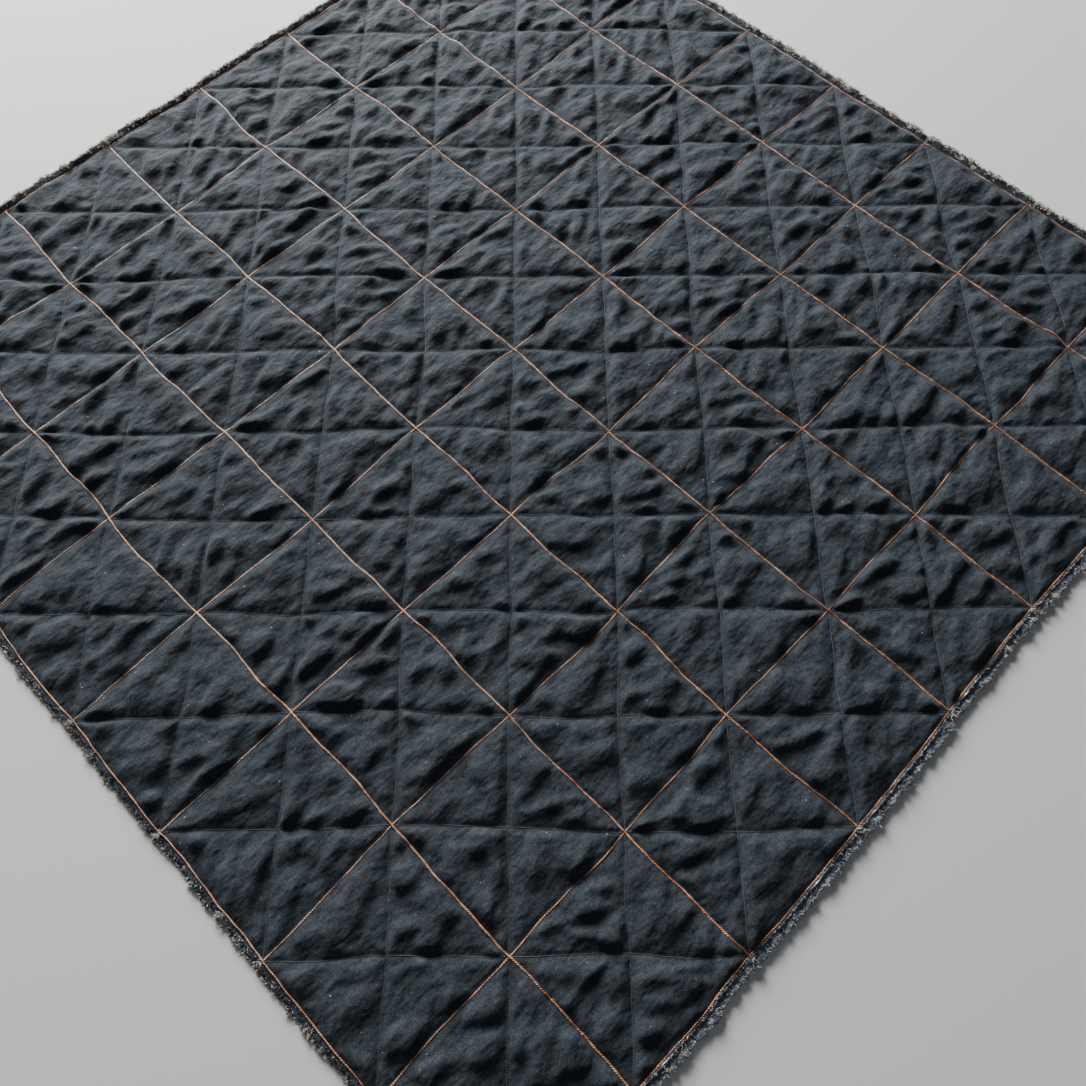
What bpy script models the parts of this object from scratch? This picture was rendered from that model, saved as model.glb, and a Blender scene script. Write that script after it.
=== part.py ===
"""A square camp quilt of quilted blocks, laid flat, in metres with +Z up.

The origin is at the middle of the quilt, on the floor that it lies on. The blocks are sewn into rows
along X. Each row has its own face cloth, batting, denim backing and sewing, and two rows make a panel.
The quilt folds like a fan at the seams between the panels.
"""

import bmesh
import bpy
from mathutils import Matrix, Vector

# The blocks: 8 inches finished, from squares cut at 9 inches and sewn half an inch from their edges.
BLOCK = 0.2032
COLUMNS = 8
ROWS = 8
ROWS_IN_PANEL = 2
PANELS = ROWS // ROWS_IN_PANEL
ALLOWANCE = 0.0127
FRAY_REACH = 0.014
HALF_WIDTH = COLUMNS * BLOCK / 2
HALF_DEPTH = ROWS * BLOCK / 2

# Clearance between solids that touch on the real quilt.
GAP = 0.0003

# The layers' thicknesses, and how far each cell swells from the stitching.
DENIM = 0.0010
BATTING_AT_SEAM = 0.0006
FACE_CLOTH = 0.0008
CROWN_DOWN = 0.0036
CROWN_UP = 0.0054
CROWN_SLOPE_WIDTH = 0.020

# Heights at the seams, from the floor up.
DENIM_Z = CROWN_DOWN
BATTING_Z = DENIM_Z + DENIM + GAP
FACE_Z = BATTING_Z + BATTING_AT_SEAM + GAP
FACE_TOP_Z = FACE_Z + FACE_CLOTH

# The fold lines lie clear of the quilt's two faces, so that folded panels lie on each other. The puffy
# faces and the frayed seams keep some air between them.
FOLD_LOFT = 0.005
RAG_LOFT = 0.003
UPWARD_FOLD_Z = FACE_TOP_Z + CROWN_UP + FOLD_LOFT
DOWNWARD_FOLD_Z = -RAG_LOFT

# The sewing.
QUILTING_RADIUS = 0.00045
QUILTING_MARGIN = 0.0018
QUILTING_STEP = 0.00015
QUILTING_Z = FACE_TOP_Z + GAP + QUILTING_RADIUS + QUILTING_STEP
SEAM_WIDTH = 0.0022
SEAM_HEIGHT = 0.0010
SEAM_Z = QUILTING_Z + QUILTING_RADIUS + QUILTING_STEP + GAP
RAG_THICKNESS = 0.0007
FRAY_THICKNESS = 0.0034
FRAY_BEVEL = 0.0010

NAVY = (0.026, 0.036, 0.050)
WADDING = (0.80, 0.78, 0.72)
INDIGO = (0.070, 0.115, 0.190)
COPPER = (0.420, 0.200, 0.105)
DARK_THREAD = (0.008, 0.010, 0.014)
FRAYED = (0.150, 0.190, 0.250)


def clear_scene():
    for obj in list(bpy.data.objects):
        bpy.data.objects.remove(obj, do_unlink=True)


def make_collection(name):
    collection = bpy.data.collections.new(name)
    bpy.context.scene.collection.children.link(collection)
    return collection


def make_material(name, colour, roughness):
    material = bpy.data.materials.new(name)
    material.use_nodes = True
    shader = material.node_tree.nodes["Principled BSDF"]
    shader.inputs["Base Color"].default_value = (*colour, 1.0)
    shader.inputs["Roughness"].default_value = roughness
    shader.inputs["Metallic"].default_value = 0.0
    return material


def add_object(name, data, material, collection):
    obj = bpy.data.objects.new(name, data)
    if not data.materials:
        data.materials.append(material)
    collection.objects.link(obj)
    return obj


def add_mesh(name, bm, material, collection):
    bmesh.ops.recalc_face_normals(bm, faces=bm.faces)
    mesh = bpy.data.meshes.new(name)
    bm.to_mesh(mesh)
    bm.free()
    return add_object(name, mesh, material, collection)


def row_sheet(z):
    """One row of square faces, centred on the origin, just clear of the rows beside it."""
    bm = bmesh.new()
    size = Matrix.Diagonal((2 * HALF_WIDTH, BLOCK - GAP, 1.0, 1.0))
    place = Matrix.Translation((0.0, 0.0, z)) @ size
    bmesh.ops.create_grid(bm, x_segments=COLUMNS, y_segments=1, size=0.5, matrix=place)
    return bm


def thicken(bm, thickness):
    """Closes the sheet with a copy of itself above or below, and returns both flat sides' faces."""
    made = bmesh.ops.extrude_face_region(bm, geom=list(bm.faces), use_keep_orig=True)["geom"]
    copied = [item for item in made if isinstance(item, bmesh.types.BMVert)]
    bmesh.ops.translate(bm, verts=copied, vec=(0.0, 0.0, thickness))
    bmesh.ops.recalc_face_normals(bm, faces=bm.faces)
    return [face for face in bm.faces if abs(face.normal.z) > 0.5]


def swell(bm, faces, height, flat_topped):
    """Raises the middle of each face along its outward normal."""
    if flat_topped:
        bmesh.ops.inset_individual(
            bm, faces=faces, thickness=CROWN_SLOPE_WIDTH, depth=height, use_even_offset=True
        )
    else:
        bmesh.ops.poke(bm, faces=faces, offset=height, center_mode="MEAN")


def quilted_mesh(z, thickness, rise_below, rise_above, flat_topped):
    """A row of blocks, each quilted corner to corner into four cells that swell between the stitching.

    rise_below and rise_above are how far the cells' lower and upper skins move out of the layer.
    """
    bm = row_sheet(z)
    bmesh.ops.poke(bm, faces=bm.faces, center_mode="MEAN")
    flat = thicken(bm, thickness)
    below = [face for face in flat if face.normal.z < 0]
    above = [face for face in flat if face.normal.z > 0]
    swell(bm, below, rise_below, flat_topped)
    swell(bm, above, rise_above, flat_topped)
    return bm


def rag_seam_mesh(first_row, last_row):
    """The row's frayed seam allowances, spread flat under the backing along every inner seam of its blocks.

    The quilt's own edge has no allowance inside it, so the bands beside it are taken away.
    """
    bm = row_sheet(DENIM_Z - GAP)
    blocks = list(bm.faces)
    fall = -CROWN_DOWN * ALLOWANCE / CROWN_SLOPE_WIDTH
    bmesh.ops.inset_individual(
        bm, faces=blocks, thickness=ALLOWANCE, depth=fall, use_even_offset=True
    )
    spare = list(blocks)
    for face in bm.faces:
        middle = face.calc_center_median()
        at_end = abs(middle.x) > HALF_WIDTH - ALLOWANCE
        at_front = first_row and middle.y < -BLOCK / 2 + ALLOWANCE
        at_back = last_row and middle.y > BLOCK / 2 - ALLOWANCE
        if face not in blocks and (at_end or at_front or at_back):
            spare.append(face)
    bmesh.ops.delete(bm, geom=spare, context="FACES")
    thicken(bm, -RAG_THICKNESS)
    return bm


def outline_curve(name, points, height):
    """A closed flat outline, raised from z = 0 to its height."""
    curve = bpy.data.curves.new(name, "CURVE")
    curve.dimensions = "2D"
    curve.fill_mode = "BOTH"
    curve.extrude = height / 2
    spline = curve.splines.new("POLY")
    spline.points.add(len(points) - 1)
    for point, (x, y) in zip(spline.points, points):
        point.co = (x, y, 0.0, 1.0)
    spline.use_cyclic_u = True
    return curve


def seam_curve():
    """Seam stitching along the front of a row, with a line across the row at each block's edge."""
    front = -BLOCK / 2 + GAP / 2
    behind = front + SEAM_WIDTH
    tip = BLOCK / 2 - SEAM_WIDTH - 2 * GAP
    points = [(-HALF_WIDTH, front), (HALF_WIDTH, front)]
    for column in range(COLUMNS, -1, -1):
        middle = -HALF_WIDTH + column * BLOCK
        right = min(middle + SEAM_WIDTH / 2, HALF_WIDTH)
        left = max(middle - SEAM_WIDTH / 2, -HALF_WIDTH)
        if column < COLUMNS:
            points.append((right, behind))
        points += [(right, tip), (left, tip)]
        if column > 0:
            points.append((left, behind))
    return outline_curve("seam_thread", points, SEAM_HEIGHT)


def border_curve():
    back = BLOCK / 2 - GAP / 2
    front = back - SEAM_WIDTH
    corners = [(-HALF_WIDTH, front), (HALF_WIDTH, front), (HALF_WIDTH, back), (-HALF_WIDTH, back)]
    return outline_curve("border_seam_thread", corners, SEAM_HEIGHT)


def zigzag(name, first_side, collection):
    """A thread from corner to corner of each block in turn, a step above or below the one it crosses."""
    curve = bpy.data.curves.new(name, "CURVE")
    curve.dimensions = "3D"
    curve.bevel_depth = QUILTING_RADIUS
    curve.bevel_resolution = 0
    curve.use_fill_caps = True
    spline = curve.splines.new("POLY")
    spline.points.add(COLUMNS)
    reach = BLOCK / 2 - QUILTING_MARGIN
    for column, point in enumerate(spline.points):
        side = first_side * (-1) ** column
        height = first_side * QUILTING_STEP
        point.co = (-HALF_WIDTH + column * BLOCK, side * reach, height, 1.0)
    obj = bpy.data.objects.new(name, curve)
    collection.objects.link(obj)
    return obj


def mesh_copy(obj, name):
    """The evaluated object as a welded mesh."""
    graph = bpy.context.evaluated_depsgraph_get()
    mesh = bpy.data.meshes.new_from_object(obj.evaluated_get(graph))
    mesh.name = name
    bm = bmesh.new()
    bm.from_mesh(mesh)
    bmesh.ops.remove_doubles(bm, verts=bm.verts, dist=1e-6)
    bmesh.ops.recalc_face_normals(bm, faces=bm.faces)
    bm.to_mesh(mesh)
    bm.free()
    return mesh


def quilting_mesh(helpers):
    """Both diagonals of every block in a row: two zigzag threads joined where they cross."""
    threads = []
    for side in (-1, 1):
        curve = zigzag(f"zigzag_{side}", side, helpers)
        thread = bpy.data.objects.new(f"thread_{side}", mesh_copy(curve, f"thread_{side}"))
        helpers.objects.link(thread)
        bpy.data.objects.remove(curve, do_unlink=True)
        threads.append(thread)
    union = threads[0].modifiers.new("Join", "BOOLEAN")
    union.operation = "UNION"
    union.object = threads[1]
    bpy.context.view_layer.update()
    joined = mesh_copy(threads[0], "quilting_thread")
    for thread in threads:
        bpy.data.objects.remove(thread, do_unlink=True)
    return joined


def add_pivots(collection):
    """An empty for each panel, on the fold line that joins it to the panel before. The first one rests."""
    pivots = []
    for panel in range(PANELS):
        pivot = bpy.data.objects.new(f"panel_{panel + 1}_pivot", None)
        if panel > 0:
            height = UPWARD_FOLD_Z if panel % 2 else DOWNWARD_FOLD_Z
            pivot.location = (0.0, panel * ROWS_IN_PANEL * BLOCK - HALF_DEPTH, height)
        collection.objects.link(pivot)
        pivots.append(pivot)
    return pivots


def place(obj, pivot, where):
    obj.parent = pivot
    obj.location = Vector(where) - pivot.location


def frayed_strip(name, x_range, y_range, material, collection, pivot):
    """A length of the raw outer edge, outside the border stitching, with its corners eased."""
    size = (x_range[1] - x_range[0], y_range[1] - y_range[0], FRAY_THICKNESS)
    middle = Vector((sum(x_range) / 2, sum(y_range) / 2, FRAY_THICKNESS / 2))
    bm = bmesh.new()
    bmesh.ops.create_cube(bm, size=1.0, matrix=Matrix.Diagonal((*size, 1.0)))
    upper = [edge for edge in bm.edges if all(vert.co.z > 0 for vert in edge.verts)]
    bmesh.ops.bevel(bm, geom=upper, offset=FRAY_BEVEL, segments=2, profile=0.5, affect="EDGES")
    place(add_mesh(name, bm, material, collection), pivot, middle)


def row_centre(row):
    return -HALF_DEPTH + (row + 0.5) * BLOCK


def build_rows(materials, collection, helpers, pivots):
    quilting = quilting_mesh(helpers)
    seam = seam_curve()
    for row in range(ROWS):
        pivot = pivots[row // ROWS_IN_PANEL]
        centre = row_centre(row)
        layers = {
            "backing_denim": quilted_mesh(DENIM_Z, DENIM, CROWN_DOWN, -CROWN_DOWN, True),
            "batting": quilted_mesh(BATTING_Z, BATTING_AT_SEAM, CROWN_DOWN, CROWN_UP, False),
            "face_flannel": quilted_mesh(FACE_Z, FACE_CLOTH, -CROWN_UP, CROWN_UP, True),
            "rag_seam": rag_seam_mesh(row == 0, row == ROWS - 1),
        }
        for name, bm in layers.items():
            obj = add_mesh(f"{name}_row_{row + 1}", bm, materials[name], collection)
            place(obj, pivot, (0.0, centre, 0.0))
        sewing = {
            "quilting_thread": (quilting, QUILTING_Z),
            "seam_thread": (seam, SEAM_Z + SEAM_HEIGHT / 2),
        }
        for name, (data, height) in sewing.items():
            obj = add_object(f"{name}_row_{row + 1}", data, materials[name], collection)
            place(obj, pivot, (0.0, centre, height))


def build_border(materials, collection, pivots):
    border = add_object("border_seam_thread", border_curve(), materials["seam_thread"], collection)
    place(border, pivots[-1], (0.0, row_centre(ROWS - 1), SEAM_Z + SEAM_HEIGHT / 2))
    cloth = materials["frayed_edge"]
    outer_x = HALF_WIDTH + FRAY_REACH
    outer_y = HALF_DEPTH + FRAY_REACH
    across = (-outer_x, outer_x)
    sides = {"left": (-outer_x, -HALF_WIDTH - GAP), "right": (HALF_WIDTH + GAP, outer_x)}
    front = (-outer_y, -HALF_DEPTH - GAP)
    back = (HALF_DEPTH + GAP, outer_y)
    frayed_strip("frayed_edge_front", across, front, cloth, collection, pivots[0])
    frayed_strip("frayed_edge_back", across, back, cloth, collection, pivots[-1])
    panel_depth = ROWS_IN_PANEL * BLOCK
    for panel, pivot in enumerate(pivots):
        low = -HALF_DEPTH + panel * panel_depth + GAP / 2
        along = (low, low + panel_depth - GAP)
        for side, across_edge in sides.items():
            name = f"frayed_edge_{side}_{panel + 1}"
            frayed_strip(name, across_edge, along, cloth, collection, pivot)


def main():
    clear_scene()
    quilt = make_collection("camp_quilt")
    helpers = make_collection("helpers")
    materials = {
        "backing_denim": make_material("backing_denim", INDIGO, 0.90),
        "batting": make_material("batting", WADDING, 1.0),
        "face_flannel": make_material("face_flannel", NAVY, 0.95),
        "rag_seam": make_material("rag_seam", FRAYED, 0.95),
        "frayed_edge": make_material("frayed_edge", FRAYED, 0.95),
        "quilting_thread": make_material("quilting_thread", DARK_THREAD, 0.60),
        "seam_thread": make_material("seam_thread", COPPER, 0.45),
    }
    pivots = add_pivots(quilt)
    build_rows(materials, quilt, helpers, pivots)
    build_border(materials, quilt, pivots)


main()
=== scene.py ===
"""The looks of the camp quilt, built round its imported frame, in metres with +Z up.

One pinned cloth simulation makes the puckered cells of a patch of blocks. The whole face is put together
from them, and the backing, batting, sewing and frayed edges follow the same sewn lines.
"""

import math
from typing import NamedTuple

import bpy
import numpy as np
from mathutils import Matrix, Vector


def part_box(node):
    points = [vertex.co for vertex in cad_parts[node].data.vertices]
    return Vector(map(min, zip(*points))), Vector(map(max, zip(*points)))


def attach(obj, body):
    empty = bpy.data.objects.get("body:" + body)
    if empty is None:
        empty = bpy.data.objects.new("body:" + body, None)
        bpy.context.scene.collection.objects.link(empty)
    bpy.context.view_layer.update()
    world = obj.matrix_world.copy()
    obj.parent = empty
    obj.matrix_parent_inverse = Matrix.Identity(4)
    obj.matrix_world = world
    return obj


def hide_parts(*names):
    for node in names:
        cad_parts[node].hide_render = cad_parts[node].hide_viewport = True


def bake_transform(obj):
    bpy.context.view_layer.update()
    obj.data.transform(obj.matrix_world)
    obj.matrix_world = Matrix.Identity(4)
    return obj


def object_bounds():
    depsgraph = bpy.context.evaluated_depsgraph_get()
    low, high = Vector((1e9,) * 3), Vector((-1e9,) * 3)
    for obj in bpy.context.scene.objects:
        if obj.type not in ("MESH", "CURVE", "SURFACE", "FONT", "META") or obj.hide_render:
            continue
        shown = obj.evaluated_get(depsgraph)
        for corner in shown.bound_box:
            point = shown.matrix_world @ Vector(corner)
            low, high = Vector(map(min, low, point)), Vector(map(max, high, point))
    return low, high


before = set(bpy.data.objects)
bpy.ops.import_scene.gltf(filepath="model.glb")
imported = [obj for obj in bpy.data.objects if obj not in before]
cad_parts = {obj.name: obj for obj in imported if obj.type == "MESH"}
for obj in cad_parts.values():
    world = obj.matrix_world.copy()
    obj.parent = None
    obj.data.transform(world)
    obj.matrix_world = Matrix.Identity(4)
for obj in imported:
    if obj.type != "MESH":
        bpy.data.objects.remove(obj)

CAD_LOW, CAD_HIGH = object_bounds()

# ---------------------------------------------------------------------------------------------
# Sizes read from the frame
# ---------------------------------------------------------------------------------------------

COLUMNS = 8
ROWS = 8
FACE_LOW, FACE_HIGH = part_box("face_flannel_row_1")
DENIM_LOW, DENIM_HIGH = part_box("backing_denim_row_1")
HALF = FACE_HIGH.x
BLOCK = 2 * HALF / COLUMNS
FACE_CLOTH = 0.0008
# The sewn lines lie a little lower than in the frame, so that the cloth can stand higher between them.
SETTLED = 0.0012
FACE_SEAM_Z = FACE_LOW.z + FACE_CLOTH - SETTLED
DENIM_SEAM_SHARE = 0.78
DENIM_SEAM_Z = DENIM_LOW.z + (DENIM_HIGH.z - DENIM_LOW.z) * DENIM_SEAM_SHARE - SETTLED
FRAY_REACH = CAD_HIGH.x - HALF
ALLOWANCE = 0.0127
HIGHEST = 0.0164
HIGHEST_EASE = 0.0024
FLOOR_CLEARANCE = 0.0002

# Each group of rows is one length of cloth, given as its first row and the row after its last.
GROUPS = [(0, 1), (1, 3), (3, 5), (5, 7), (7, 8)]

# ---------------------------------------------------------------------------------------------
# Small tools
# ---------------------------------------------------------------------------------------------


def smooth_noise(x, y, wavelength, seed, waves=22, spread=0.45):
    """Soft random hills, mostly within -2 to 2, whose spacing is about the wavelength."""
    rng = np.random.default_rng(seed)
    total = np.zeros_like(x)
    for _ in range(waves):
        angle = rng.uniform(0, 2 * math.pi)
        k = 2 * math.pi / (wavelength * rng.uniform(1 - spread, 1 + spread))
        total += np.sin(k * (x * math.cos(angle) + y * math.sin(angle)) + rng.uniform(0, 2 * math.pi))
    return total / math.sqrt(waves / 2)


def noise_sum(x, y, layers):
    """Soft noise in several layers, each given as (height, wavelength, seed)."""
    return sum(height * smooth_noise(x, y, wavelength, seed) for height, wavelength, seed in layers)


def build_mesh(name, points, face_sets, materials):
    """A mesh object from an array of points and, for each material, an array of its faces."""
    mesh = bpy.data.meshes.new(name)
    points = np.asarray(points, np.float32)
    mesh.vertices.add(len(points))
    mesh.vertices.foreach_set("co", points.ravel())
    face_sets = [(np.asarray(faces, np.int32), slot) for faces, slot in face_sets if len(faces)]
    sizes = np.concatenate([np.full(len(faces), faces.shape[1], np.int32) for faces, _ in face_sets])
    slots = np.concatenate([np.full(len(faces), slot, np.int32) for faces, slot in face_sets])
    corners = np.concatenate([faces.ravel() for faces, _ in face_sets])
    mesh.loops.add(len(corners))
    mesh.loops.foreach_set("vertex_index", corners)
    mesh.polygons.add(len(sizes))
    mesh.polygons.foreach_set("loop_start", np.concatenate([[0], np.cumsum(sizes)[:-1]]).astype(np.int32))
    mesh.polygons.foreach_set("loop_total", sizes)
    for material in materials:
        mesh.materials.append(material)
    mesh.polygons.foreach_set("material_index", slots)
    mesh.update()
    mesh.shade_smooth()
    obj = bpy.data.objects.new(name, mesh)
    bpy.context.scene.collection.objects.link(obj)
    return obj


def grid_faces(rows, columns, first=0):
    """The quads of a rows x columns grid of points."""
    index = first + np.arange(rows * columns).reshape(rows, columns)
    corners = [index[:-1, :-1], index[:-1, 1:], index[1:, 1:], index[1:, :-1]]
    return np.stack(corners, -1).reshape(-1, 4)


def stitched_faces(rows, columns, cells):
    """The triangles of a grid of blocks. Their edges follow both diagonals of each block."""
    quads = grid_faces(rows, columns).reshape(rows - 1, columns - 1, 4)
    b, a = np.meshgrid(np.arange(rows - 1) % cells, np.arange(columns - 1) % cells, indexing="ij")
    same = (a < cells / 2) == (b < cells / 2)
    one = quads[same][:, [[0, 1, 2], [0, 2, 3]]].reshape(-1, 3)
    other = quads[~same][:, [[0, 1, 3], [1, 2, 3]]].reshape(-1, 3)
    return np.concatenate([one, other])


def tube(path, half_width, half_height, sides):
    """The points and quads of a flattened cord along a path. Its width lies level and its ends are open."""
    path = np.asarray(path)
    along = np.gradient(path, axis=0)
    side = np.stack([-along[:, 1], along[:, 0], np.zeros(len(path))], -1)
    side /= np.linalg.norm(side, axis=1, keepdims=True)
    angles = 2 * math.pi * np.arange(sides) / sides
    wide = np.broadcast_to(half_width, (len(path),))[:, None, None]
    high = np.broadcast_to(half_height, (len(path),))[:, None, None]
    ring = side[:, None, :] * np.cos(angles)[None, :, None] * wide
    ring = ring + np.array([0, 0, 1.0]) * np.sin(angles)[None, :, None] * high
    points = (path[:, None, :] + ring).reshape(-1, 3)
    index = np.arange(len(path) * sides).reshape(len(path), sides)
    following = np.roll(index, -1, axis=1)
    quads = np.stack([index[:-1], following[:-1], following[1:], index[1:]], -1).reshape(-1, 4)
    return points, quads


def gather(parts):
    """Several (points, faces) as one."""
    points, faces, count = [], [], 0
    for some_points, some_faces in parts:
        points.append(some_points)
        faces.append(some_faces + count)
        count += len(some_points)
    return np.concatenate(points), np.concatenate(faces)


# ---------------------------------------------------------------------------------------------
# The sewn surface
# ---------------------------------------------------------------------------------------------

# The face has this many mesh cells along a block, and the simulated patch this many blocks along a side.
CELLS = 48
PATCH = 4
SIM_FRAMES = 20
# Spare cloth, as the cloth modifier's shrink: below zero it grows.
EXCESS_CALM = -0.008
EXCESS_FULL = -0.075
HELD_INSIDE = 0.10
# Each cell starts as a low crown, crossed by ripples of this spacing, drawn out lengthwise and turned.
CROWN = 0.0054
CROWN_RUN = 0.015
RIPPLE_WAVE = 0.035
RIPPLE_SLANT = 0.36
RIPPLE_TURN = 1.3
RIPPLE_LOW = 0.0019
RIPPLE_HIGH = 0.0042
RIPPLE_EASE = 0.006
# Broader and finer unevenness on top.
SWELL = 0.0014
SWELL_WAVE = 0.065
GRAIN = 0.0003
GRAIN_WAVE = 0.012
SMOOTHING = 0.55


def stitched(a, b, cells):
    """True on the seams and on both diagonals of each block."""
    return (a % cells == 0) | (b % cells == 0) | (a % cells == b % cells) | ((a + b) % cells == 0)


def distance_to_stitching(a, b, cells):
    """How far each grid point is from the nearest seam or diagonal, in metres."""
    fa = (a % cells) / cells
    fb = (b % cells) / cells
    to_seam = np.minimum(np.minimum(fa, 1 - fa), np.minimum(fb, 1 - fb))
    to_diagonal = np.minimum(np.abs(fa - fb), np.abs(fa + fb - 1)) / math.sqrt(2)
    return np.minimum(to_seam, to_diagonal) * BLOCK


def cell_weights(a, b, cells, seed):
    """A random share, from 0 to 1, for each triangular cell between the stitching."""
    rng = np.random.default_rng(seed)
    fa = (a % cells) / cells - 0.5
    fb = (b % cells) / cells - 0.5
    quarter = np.where(np.abs(fa) > np.abs(fb), np.where(fa > 0, 0, 1), np.where(fb > 0, 2, 3))
    blocks = a.max() // cells + 1
    share = rng.uniform(0, 1, (blocks, blocks, 4))
    return share[b // cells, a // cells, quarter]


def start_shape(blocks, cells):
    """The cloth before it puckers: a low crown in each cell, with ripples that turn from cell to cell."""
    count = blocks * cells + 1
    a, b = np.meshgrid(np.arange(count), np.arange(count))
    x = a * BLOCK / cells
    y = b * BLOCK / cells
    inward = distance_to_stitching(a, b, cells)
    crown = CROWN * (1 - np.exp(-inward / CROWN_RUN))
    depth = RIPPLE_LOW + (RIPPLE_HIGH - RIPPLE_LOW) * cell_weights(a, b, cells, 11)
    turn = RIPPLE_TURN * (cell_weights(a, b, cells, 12) - 0.4)
    across = x * np.cos(turn) + y * np.sin(turn)
    down = y * np.cos(turn) - x * np.sin(turn)
    ripples = depth * smooth_noise(across, down * RIPPLE_SLANT, RIPPLE_WAVE, 5)
    ripples = ripples + SWELL * smooth_noise(x, y * 0.7, SWELL_WAVE, 7)
    ripples = ripples + GRAIN * smooth_noise(x, y, GRAIN_WAVE, 6)
    z = np.where(stitched(a, b, cells), 0.0, crown + ripples * np.clip(inward / RIPPLE_EASE, 0, 1))
    return a, b, np.stack([x, y, z], -1)


def simulate_patch():
    """Blender's cloth on a patch of blocks: spare cloth, held at the stitching, swells and puckers."""
    a, b, start = start_shape(PATCH, CELLS)
    count = len(a)
    obj = build_mesh("patch", start.reshape(-1, 3), [(grid_faces(count, count), 0)], [])
    held = stitched(a, b, CELLS).ravel()
    pins = obj.vertex_groups.new(name="held")
    pins.add(np.flatnonzero(held).tolist(), 1.0, "REPLACE")
    pins.add(np.flatnonzero(~held).tolist(), HELD_INSIDE, "REPLACE")
    spare = obj.vertex_groups.new(name="spare")
    weights = np.round(cell_weights(a, b, CELLS, 11), 2).ravel()
    for weight in np.unique(weights):
        spare.add(np.flatnonzero(weights == weight).tolist(), float(weight), "REPLACE")
    cloth = obj.modifiers.new("Cloth", "CLOTH")
    settings = cloth.settings
    settings.vertex_group_mass = "held"
    settings.vertex_group_shrink = "spare"
    settings.shrink_min = EXCESS_CALM
    settings.shrink_max = EXCESS_FULL
    settings.quality = 5
    settings.tension_stiffness = 15
    settings.compression_stiffness = 15
    settings.shear_stiffness = 5
    settings.bending_stiffness = 5
    settings.use_pressure = True
    settings.uniform_pressure_force = 2
    settings.effector_weights.gravity = 0
    cloth.collision_settings.use_collision = False
    scene = bpy.context.scene
    cloth.point_cache.frame_start = 1
    cloth.point_cache.frame_end = SIM_FRAMES
    for number in range(1, SIM_FRAMES + 1):
        scene.frame_set(number)
    graph = bpy.context.evaluated_depsgraph_get()
    end = np.empty(count * count * 3, np.float32)
    obj.evaluated_get(graph).data.vertices.foreach_get("co", end)
    bpy.data.objects.remove(obj, do_unlink=True)
    scene.frame_set(1)
    flat = start * np.array([1, 1, 0])
    moved = end.reshape(count, count, 3).astype(float) - flat
    return evened(moved, held.reshape(count, count))


def evened(moved, held):
    """One pass of smoothing, away from the stitching and the rim."""
    around = (moved[1:-1, :-2] + moved[1:-1, 2:] + moved[:-2, 1:-1] + moved[2:, 1:-1]) / 4
    inner = moved[1:-1, 1:-1]
    eased = (1 - SMOOTHING) * inner + SMOOTHING * around
    result = moved.copy()
    result[1:-1, 1:-1] = np.where(held[1:-1, 1:-1, None], inner, eased)
    return result


def lay_out(patch):
    """The whole quilt's puckers: each block is one of the patch's, some of them turned or mirrored."""
    rng = np.random.default_rng(21)
    size = COLUMNS * CELLS + 1
    whole = np.zeros((size, size, 3))
    order = np.concatenate([rng.permutation(PATCH * PATCH) for _ in range(4)])
    for block in range(ROWS * COLUMNS):
        column, row = block % COLUMNS, block // COLUMNS
        source = order[block]
        u, v = source % PATCH * CELLS, source // PATCH * CELLS
        piece = patch[v : v + CELLS + 1, u : u + CELLS + 1].copy()
        if rng.random() < 0.5:
            piece = piece[::-1, ::-1] * np.array([-1, -1, 1])
        if rng.random() < 0.3:
            piece = piece[:, ::-1] * np.array([-1, 1, 1])
        rows = slice(row * CELLS, (row + 1) * CELLS + 1)
        columns = slice(column * CELLS, (column + 1) * CELLS + 1)
        whole[rows, columns] = piece
    return whole


# How far the sewing strays sideways, in layers of (height, wavelength, seed).
STRAY_X = [(0.0024, 0.50, 30), (0.0012, 0.19, 31), (0.0003, 0.05, 32)]
STRAY_Y = [(0.0024, 0.50, 33), (0.0012, 0.19, 34), (0.0003, 0.05, 35)]
# How high it lifts, in low waves, in a few long folds and in small waves.
LOW_WAVES = 0.0012
LONG_FOLDS = 0.0026
SMALL_WAVES = 0.0003


def wander(x, y):
    """How far the sewing strays from the straight grid, in x, y and z."""
    dx = noise_sum(x, y, STRAY_X)
    dy = noise_sum(x, y, STRAY_Y)
    lift = LOW_WAVES * np.clip(smooth_noise(x, y, 0.22, 36) + 0.1, 0, 1.6)
    where = np.clip(smooth_noise(x, y, 0.40, 37) - 0.2, 0, 1)
    folds = np.clip(smooth_noise(x + 0.3 * y, 0.4 * y, 0.085, 38), 0, 1.5)
    lift = lift + LONG_FOLDS * where * folds + SMALL_WAVES * (1 + smooth_noise(x, y, 0.045, 39))
    return np.stack([dx, dy, np.maximum(lift, 0)], -1)


def soft_limit(z, limit, knee):
    """Leaves z alone below the knee and eases it towards the limit above."""
    over = np.maximum(z - knee, 0)
    return np.minimum(z, knee) + (limit - knee) * (1 - np.exp(-over / (limit - knee)))


def soft_floor(z, knee):
    """Leaves z alone above the knee and eases it towards zero below."""
    return np.where(z > knee, z, knee * np.exp((z - knee) / knee))


def flat_grid(cells):
    """The x and y of the whole quilt's grid."""
    line = np.linspace(-HALF, HALF, COLUMNS * cells + 1)
    return np.meshgrid(line, line)


# The backing has a coarser grid. It hangs this far between its stitching, nearly all of it within the run.
BACK_CELLS = 24
BACK_HANG = 0.0042
BACK_HANG_RUN = 0.012
BACK_UNEVEN = [(0.0007, 0.035, 41), (0.0006, 0.018, 42)]
BACK_CLEARANCE = FLOOR_CLEARANCE + 0.0006
BACK_EASE = 0.001
# The least distance from the backing to the face, and how far the stitching itself is pulled in.
THINNEST = 0.0018
THINNEST_EASE = 0.0008
STITCH_PULL = 0.0009
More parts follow.
